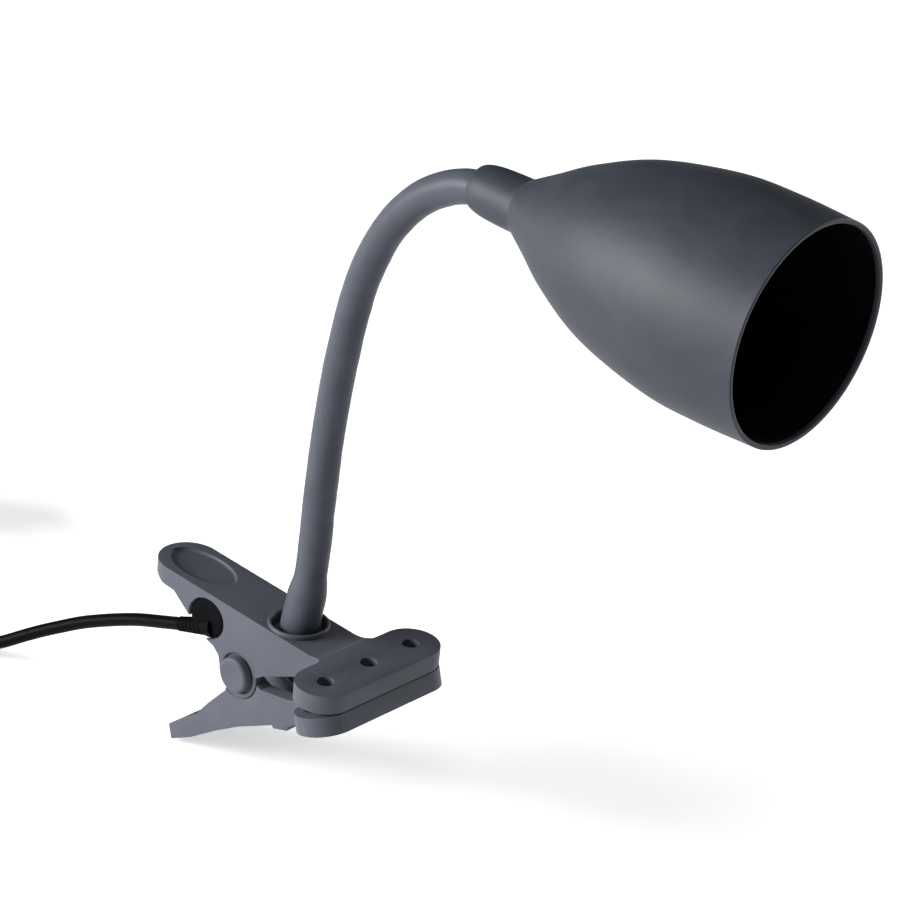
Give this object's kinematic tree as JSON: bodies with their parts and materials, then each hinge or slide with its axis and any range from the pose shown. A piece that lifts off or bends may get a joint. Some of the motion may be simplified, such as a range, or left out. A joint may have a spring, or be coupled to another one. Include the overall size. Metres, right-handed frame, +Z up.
{
  "type": "clip-on reading lamp",
  "caption": "Small clip-on reading lamp: sprung plastic clip with drilled jaws, bendable sleeved neck, bell shade, black flex with inline switch and plug",
  "frame": {"origin": "On the face of the upper jaw's grip pad, straight under the middle hole of the jaw plate", "axes": "+X runs forward from the handle to the jaws and the head, +Z runs up along the neck, +Y completes the set towards the far cheek"},
  "size_m": [0.5338, 0.0929, 0.3161],
  "materials": {
    "brass": "plain brass",
    "zinc_steel": "plain zinc-plated steel",
    "black_plastic": "satin black moulding",
    "black_rubber": "matt black",
    "slate_plastic": "satin moulded, slate blue-grey",
    "slate_sleeve": "smooth soft PVC sleeve, slate blue-grey"
  },
  "bodies": {
    "clamp": {"clamp_screw_1": "zinc_steel", "clamp_screw_2": "zinc_steel", "clamp_spring": "zinc_steel", "cord_clamp": "black_plastic", "cord_coil": "black_rubber", "cord_gland": "black_rubber", "cord_lead": "black_rubber", "cord_tail": "black_rubber", "cord_tie": "black_rubber", "neck_core_1": "zinc_steel", "neck_foot_ferrule": "zinc_steel", "neck_locknut": "zinc_steel", "neck_sleeve_1": "slate_sleeve", "neck_washer": "zinc_steel", "pivot_cap_far": "slate_plastic", "pivot_cap_near": "slate_plastic", "pivot_pin": "zinc_steel", "plug_body": "black_plastic", "plug_pin_1": "zinc_steel", "plug_pin_2": "zinc_steel", "plug_tail": "black_rubber", "switch_base": "black_plastic", "switch_cover": "black_plastic", "switch_screw_1": "zinc_steel", "switch_screw_2": "zinc_steel", "upper_grip_pad": "black_rubber", "upper_lever": "slate_plastic"},
    "lower_lever": {"lower_lever": "slate_plastic", "lower_grip_pad": "black_rubber"},
    "neck_2": {"neck_core_2": "zinc_steel", "neck_sleeve_2": "slate_sleeve"},
    "neck_3": {"neck_core_3": "zinc_steel", "neck_sleeve_3": "slate_sleeve"},
    "neck_4": {"neck_core_4": "zinc_steel", "neck_sleeve_4": "slate_sleeve"},
    "neck_5": {"neck_core_5": "zinc_steel", "neck_sleeve_5": "slate_sleeve"},
    "head": {"neck_core_6": "zinc_steel", "neck_sleeve_6": "slate_sleeve", "neck_top_fitting": "zinc_steel", "shade_locknut": "zinc_steel", "shade": "slate_plastic", "lampholder_cap": "black_plastic", "lampholder_body": "black_plastic", "thread_shell": "brass", "centre_contact": "brass", "lampholder_ring": "black_plastic"},
    "rocker": {"switch_rocker": "black_plastic"}
  },
  "joints": [
    {"name": "clamp_hinge", "type": "hinge", "parent": "clamp", "child": "lower_lever", "pos_m": [-0.0562, 0, -0.0183], "axis": [0, 1, 0], "range_deg": [0, 38], "stiffness_Nm_per_rad": 1.2, "springref_deg": -34.38, "deforming": ["clamp_spring"]},
    {"name": "neck_lean", "type": "hinge", "parent": "clamp", "child": "neck_2", "pos_m": [-0.03243, 0, 0.05167], "axis": [0.9999, 0, -0.0139], "range_deg": [-30, 30]},
    {"name": "neck_bend_low", "type": "hinge", "parent": "neck_2", "child": "neck_3", "pos_m": [-0.03053, 0, 0.09191], "axis": [0, 1, 0], "range_deg": [-30, 30]},
    {"name": "neck_bend_middle", "type": "hinge", "parent": "neck_3", "child": "neck_4", "pos_m": [-0.02611, 0, 0.12956], "axis": [0, 1, 0], "range_deg": [-30, 30]},
    {"name": "neck_bend_high", "type": "hinge", "parent": "neck_4", "child": "neck_5", "pos_m": [-0.01726, 0, 0.16637], "axis": [0, 1, 0], "range_deg": [-30, 30]},
    {"name": "head_swing", "type": "hinge", "parent": "neck_5", "child": "head", "pos_m": [0.00153, 0, 0.19625], "axis": [-0.7095, 0, 0.7047], "range_deg": [-30, 30]},
    {"name": "switch_rock", "type": "hinge", "parent": "clamp", "child": "rocker", "pos_m": [-0.268, -0.0344, -0.0525], "axis": [0, 1, 0], "range_deg": [0, 10]}
  ]
}
